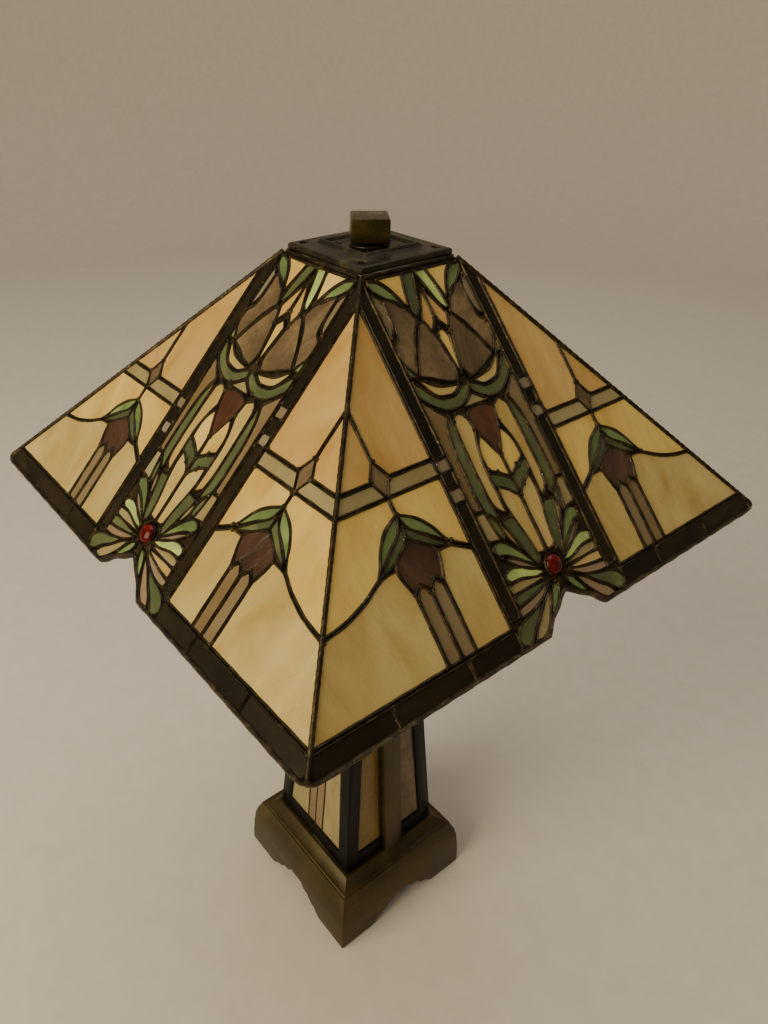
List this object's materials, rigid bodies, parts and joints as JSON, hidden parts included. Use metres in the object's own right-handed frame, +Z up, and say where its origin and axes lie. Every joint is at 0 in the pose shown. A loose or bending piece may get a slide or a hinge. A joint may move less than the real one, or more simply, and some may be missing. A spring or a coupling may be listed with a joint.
{
  "type": "leaded glass table lamp",
  "caption": "Table lamp with a four-sided leaded glass pyramid shade on a tapered square glass column and a cast square base with arched feet.",
  "frame": {"origin": "on the table top, under the middle of the base", "axes": "+Z up along the riser, -Y out of the front face of the shade, column and base, and +X out of their right face"},
  "size_m": [0.4074, 0.4074, 0.6531],
  "materials": {
    "bronze": "satin antique bronze over a cast body, browner on edges",
    "dark_bronze": "darker antique bronze patina, rubbed on the raised square",
    "black_frame": "black satin patina with bronze worn edges",
    "lead_came": "dark bronze patina on solder, with small bright beads",
    "amber_glass": "streaky amber and cream opalescent art glass",
    "flower_glass": "mottled green, maroon and amber art glass in leaded pieces",
    "jewel_glass": "polished domed red glass",
    "column_glass": "streaky amber and cream opalescent art glass",
    "bulb_glass": "frosted white",
    "brass": "aged brass",
    "steel": "zinc plated, dull",
    "black_plastic": "moulded phenolic",
    "rubber": "matt",
    "felt": "pressed brown felt"
  },
  "bodies": {
    "stand": {"riser_sleeve": "brass", "cluster_body": "brass", "cluster_nut": "brass", "shade_seat_nut": "brass", "socket_1": "brass", "socket_2": "brass", "riser_rod": "steel", "riser_lock_nut": "steel", "bottom_cover": "steel", "column_frame": "black_frame", "column_glass_front": "column_glass", "column_glass_right": "column_glass", "column_glass_back": "column_glass", "column_glass_left": "column_glass", "column_strap_right": "bronze", "column_strap_left": "bronze", "column_top_plate": "bronze", "night_light_socket": "black_plastic", "night_light_bulb": "bulb_glass", "base_casting": "bronze", "felt_pad_1": "felt", "felt_pad_2": "felt", "felt_pad_3": "felt", "felt_pad_4": "felt", "cord_inlet_grommet": "rubber"},
    "shade_seat": {"shade_seat_washer": "brass"},
    "shade": {"leads_front": "lead_came", "glass_flower_front": "flower_glass", "glass_gore_front_a": "amber_glass", "glass_gore_front_b": "amber_glass", "jewel_front": "jewel_glass", "leads_right": "lead_came", "glass_flower_right": "flower_glass", "glass_gore_right_a": "amber_glass", "glass_gore_right_b": "amber_glass", "jewel_right": "jewel_glass", "leads_back": "lead_came", "glass_flower_back": "flower_glass", "glass_gore_back_a": "amber_glass", "glass_gore_back_b": "amber_glass", "jewel_back": "jewel_glass", "leads_left": "lead_came", "glass_flower_left": "flower_glass", "glass_gore_left_a": "amber_glass", "glass_gore_left_b": "amber_glass", "jewel_left": "jewel_glass", "hip_lead_1": "lead_came", "hip_lead_2": "lead_came", "hip_lead_3": "lead_came", "hip_lead_4": "lead_came", "shade_cap": "dark_bronze"},
    "finial_washer": {"finial_washer": "dark_bronze"},
    "finial": {"finial": "bronze"},
    "pull_chain_1": {"pull_chain_1": "brass", "chain_knob_1": "brass"},
    "pull_chain_2": {"pull_chain_2": "brass", "chain_knob_2": "brass"},
    "bulb_1": {"bulb_1": "bulb_glass"},
    "bulb_2": {"bulb_2": "bulb_glass"}
  },
  "joints": [
    {"name": "shade_lift", "type": "slide", "parent": "stand", "child": "shade_seat", "axis": [0, 0, 1], "range_m": [0, 0.16]},
    {"name": "shade_turn", "type": "hinge", "parent": "shade_seat", "child": "shade", "pos_m": [0, 0, 0.632], "axis": [0, 0, 1], "continuous": true},
    {"name": "finial_rise", "type": "slide", "parent": "shade", "child": "finial_washer", "axis": [0, 0, 1], "range_m": [0, 0.0075]},
    {"name": "finial_turn", "type": "hinge", "parent": "finial_washer", "child": "finial", "pos_m": [0, 0, 0.637], "axis": [0, 0, 1], "range_deg": [0, 2880]},
    {"name": "pull_chain_1_pull", "type": "slide", "parent": "stand", "child": "pull_chain_1", "axis": [0, 0, -1], "range_m": [0, 0.008], "stiffness_N_per_m": 300, "springref_m": -0.003},
    {"name": "pull_chain_2_pull", "type": "slide", "parent": "stand", "child": "pull_chain_2", "axis": [0, 0, -1], "range_m": [0, 0.008], "stiffness_N_per_m": 300, "springref_m": -0.003},
    {"name": "bulb_1_out", "type": "slide", "parent": "stand", "child": "bulb_1", "axis": [1, 0, 0], "range_m": [0, 0.024]},
    {"name": "bulb_2_out", "type": "slide", "parent": "stand", "child": "bulb_2", "axis": [-1, 0, 0], "range_m": [0, 0.024]}
  ],
  "couplings": [
    {"joint": "finial_turn", "follows": "finial_rise", "rad_per_m": 6684.5}
  ]
}
